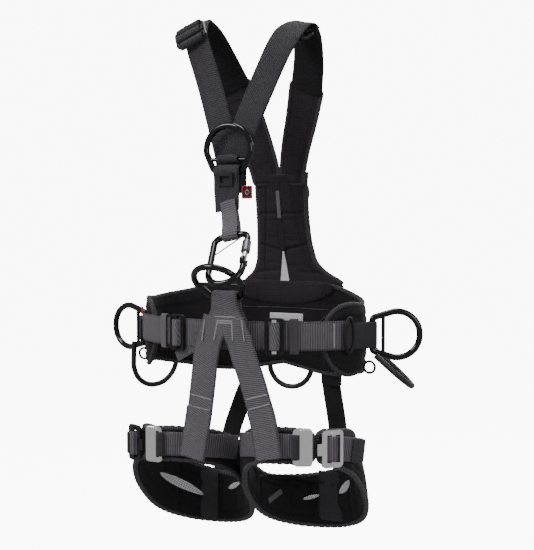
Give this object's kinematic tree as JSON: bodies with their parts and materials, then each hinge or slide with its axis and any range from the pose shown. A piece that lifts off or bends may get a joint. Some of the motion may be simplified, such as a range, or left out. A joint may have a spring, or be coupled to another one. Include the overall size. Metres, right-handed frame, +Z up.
{
  "type": "safety harness",
  "caption": "full body work harness with padded waist belt, leg loops, padded back and shoulders, forged rings, buckles and a screw gate connector",
  "frame": {"origin": "centre of the waist opening at the middle height of the waist pad", "axes": "+Z up the spine, -Y the way the wearer faces, +X the wearer's left"},
  "size_m": [0.5666, 0.3596, 0.8647],
  "materials": {
    "webbing": "woven polyester webbing, dark grey",
    "padding": "near-black woven cover over foam",
    "elastic": "light grey woven elastic",
    "moulded": "moulded dark grey plastic",
    "black_alloy": "gloss black forged alloy",
    "black_steel": "black coated stamped steel",
    "satin_steel": "satin stainless steel",
    "slide_steel": "bright steel slide bar",
    "gunmetal_sleeve": "satin gunmetal screw sleeve",
    "steel_wire": "light grey steel wire",
    "red_tab": "small woven tab with a red edge"
  },
  "bodies": {
    "harness": {"waist_pad": "padding", "belt_webbing_right": "webbing", "belt_webbing_front": "webbing", "belt_webbing_left": "webbing", "belt_adjuster_right": "black_steel", "belt_adjuster_left": "black_steel", "side_ring_strap_left": "webbing", "side_ring_strap_right": "webbing", "sternal_strap": "webbing", "marker_tab": "red_tab", "ventral_strap": "webbing", "front_riser_left": "webbing", "front_riser_right": "webbing", "back_panel": "padding", "shoulder_pad_left": "padding", "shoulder_cover_left": "padding", "shoulder_pad_right": "padding", "shoulder_cover_right": "padding", "shoulder_strap_left": "webbing", "shoulder_strap_right": "webbing", "shoulder_adjuster_left": "black_steel", "shoulder_adjuster_right": "black_steel", "dorsal_strap": "webbing", "leg_pad_left": "padding", "leg_webbing_inner_left": "webbing", "leg_webbing_outer_left": "webbing", "leg_hook_plate_left": "satin_steel", "leg_pad_right": "padding", "leg_webbing_inner_right": "webbing", "leg_webbing_outer_right": "webbing", "leg_hook_plate_right": "satin_steel", "rear_riser_left": "webbing", "rear_riser_right": "webbing", "rear_riser_buckles": "black_steel"},
    "sternal_ring": {"sternal_ring": "black_alloy"},
    "ventral_ring": {"ventral_ring": "black_alloy"},
    "dorsal_ring": {"dorsal_ring": "black_alloy"},
    "side_ring_left": {"side_ring_left": "black_alloy"},
    "side_ring_right": {"side_ring_right": "black_alloy"},
    "connector": {"connector_body": "black_alloy", "captive_bar": "steel_wire", "gate_hinge_pin": "satin_steel"},
    "gate": {"connector_gate": "satin_steel"},
    "screw_sleeve": {"gate_screw_sleeve": "gunmetal_sleeve"},
    "sternal_keeper": {"sternal_keeper": "moulded"},
    "belt_slide_bar_left": {"belt_slide_bar_left": "slide_steel"},
    "shoulder_slide_bar_left": {"shoulder_slide_bar_left": "slide_steel"},
    "leg_slide_bar_left": {"leg_slide_bar_left": "slide_steel"},
    "gear_loop_left": {"gear_loop_left": "moulded"},
    "accessory_ring_left": {"accessory_ring_left": "moulded"},
    "belt_keeper_left": {"belt_keeper_left": "elastic"},
    "leg_tongue_left": {"leg_tongue_frame_left": "satin_steel"},
    "belt_slide_bar_right": {"belt_slide_bar_right": "slide_steel"},
    "shoulder_slide_bar_right": {"shoulder_slide_bar_right": "slide_steel"},
    "leg_slide_bar_right": {"leg_slide_bar_right": "slide_steel"},
    "gear_loop_right": {"gear_loop_right": "moulded"},
    "accessory_ring_right": {"accessory_ring_right": "moulded"},
    "belt_keeper_right": {"belt_keeper_right": "elastic"},
    "leg_tongue_right": {"leg_tongue_frame_right": "satin_steel"},
    "gear_loop_rear": {"gear_loop_rear": "moulded"}
  },
  "joints": [
    {"name": "sternal_ring_hinge", "type": "hinge", "parent": "harness", "child": "sternal_ring", "pos_m": [0, -0.082, 0.261], "axis": [1, 0, 0], "range_deg": [0, 90]},
    {"name": "ventral_ring_hinge", "type": "hinge", "parent": "harness", "child": "ventral_ring", "pos_m": [0.024, -0.134, 0.0685], "axis": [1, 0, 0], "range_deg": [-2, 3]},
    {"name": "dorsal_ring_hinge", "type": "hinge", "parent": "harness", "child": "dorsal_ring", "pos_m": [-0.008, 0.117, 0.262], "axis": [1, 0, 0], "range_deg": [0, 100]},
    {"name": "side_ring_left_hinge", "type": "hinge", "parent": "harness", "child": "side_ring_left", "pos_m": [0.20619, 0.00746, 0.006], "axis": [0, 0, 1], "range_deg": [-40, 30]},
    {"name": "side_ring_right_hinge", "type": "hinge", "parent": "harness", "child": "side_ring_right", "pos_m": [-0.21267, 0.008, -0.001], "axis": [0, 0, 1], "range_deg": [-30, 40]},
    {"name": "connector_hinge", "type": "hinge", "parent": "harness", "child": "connector", "pos_m": [0.0295, -0.1247, 0.16], "axis": [0.9774, 0.1106, 0.18], "range_deg": [-2, 2]},
    {"name": "gate_hinge", "type": "hinge", "parent": "connector", "child": "gate", "pos_m": [0.06819, -0.15918, 0.12523], "axis": [0.0422, 0.7325, -0.6794], "range_deg": [-15, 0]},
    {"name": "sleeve_slide", "type": "slide", "parent": "gate", "child": "screw_sleeve", "axis": [-0.207, 0.6717, 0.7113], "range_m": [-0.007, 0]},
    {"name": "sternal_keeper_slide", "type": "slide", "parent": "harness", "child": "sternal_keeper", "axis": [0, 0.1191, -0.9929], "range_m": [0, 0.003]},
    {"name": "belt_slide_bar_left_slide", "type": "slide", "parent": "harness", "child": "belt_slide_bar_left", "axis": [0.9446, 0.3283, 0], "range_m": [-0.003, 0.003]},
    {"name": "shoulder_slide_bar_left_slide", "type": "slide", "parent": "harness", "child": "shoulder_slide_bar_left", "axis": [0.2036, 0.8653, 0.4581], "range_m": [-0.003, 0.003]},
    {"name": "belt_keeper_left_slide", "type": "slide", "parent": "harness", "child": "belt_keeper_left", "axis": [0.8949, 0.4463, 0], "range_m": [-0.002, 0.002]},
    {"name": "leg_tongue_left_hinge", "type": "hinge", "parent": "harness", "child": "leg_tongue_left", "pos_m": [0.16501, -0.09956, -0.16144], "axis": [0, 0, 1], "range_deg": [-15, 0]},
    {"name": "leg_slide_bar_left_slide", "type": "slide", "parent": "leg_tongue_left", "child": "leg_slide_bar_left", "axis": [0.6169, 0.787, 0], "range_m": [-0.002, 0.002]},
    {"name": "belt_slide_bar_right_slide", "type": "slide", "parent": "harness", "child": "belt_slide_bar_right", "axis": [0.9722, -0.234, 0], "range_m": [-0.003, 0.003]},
    {"name": "shoulder_slide_bar_right_slide", "type": "slide", "parent": "harness", "child": "shoulder_slide_bar_right", "axis": [-0.399, 0.3491, 0.8479], "range_m": [-0.003, 0.003]},
    {"name": "belt_keeper_right_slide", "type": "slide", "parent": "harness", "child": "belt_keeper_right", "axis": [0.9335, -0.3586, 0], "range_m": [-0.002, 0.002]},
    {"name": "leg_tongue_right_hinge", "type": "hinge", "parent": "harness", "child": "leg_tongue_right", "pos_m": [-0.13782, -0.12279, -0.17544], "axis": [0, 0, 1], "range_deg": [0, 15]},
    {"name": "leg_slide_bar_right_slide", "type": "slide", "parent": "leg_tongue_right", "child": "leg_slide_bar_right", "axis": [0.8893, -0.4574, 0], "range_m": [-0.002, 0.002]},
    {"name": "gear_loop_left_hinge", "type": "hinge", "parent": "harness", "child": "gear_loop_left", "pos_m": [0.20283, 0.02723, -0.024], "axis": [0.3903, -0.9207, 0], "range_deg": [-20, 10]},
    {"name": "gear_loop_right_hinge", "type": "hinge", "parent": "harness", "child": "gear_loop_right", "pos_m": [-0.20283, 0.02723, -0.024], "axis": [0.3903, 0.9207, 0], "range_deg": [-1, 15]},
    {"name": "gear_loop_rear_hinge", "type": "hinge", "parent": "harness", "child": "gear_loop_rear", "pos_m": [0.00687, 0.12692, -0.04], "axis": [1, 0, 0], "range_deg": [0, 60]},
    {"name": "accessory_ring_left_hinge", "type": "hinge", "parent": "harness", "child": "accessory_ring_left", "pos_m": [0.20686, -0.005, -0.03209], "axis": [0, 1, 0], "range_deg": [-12, 12]},
    {"name": "accessory_ring_right_hinge", "type": "hinge", "parent": "harness", "child": "accessory_ring_right", "pos_m": [-0.20686, -0.005, -0.03209], "axis": [0, 1, 0], "range_deg": [-12, 12]}
  ]
}
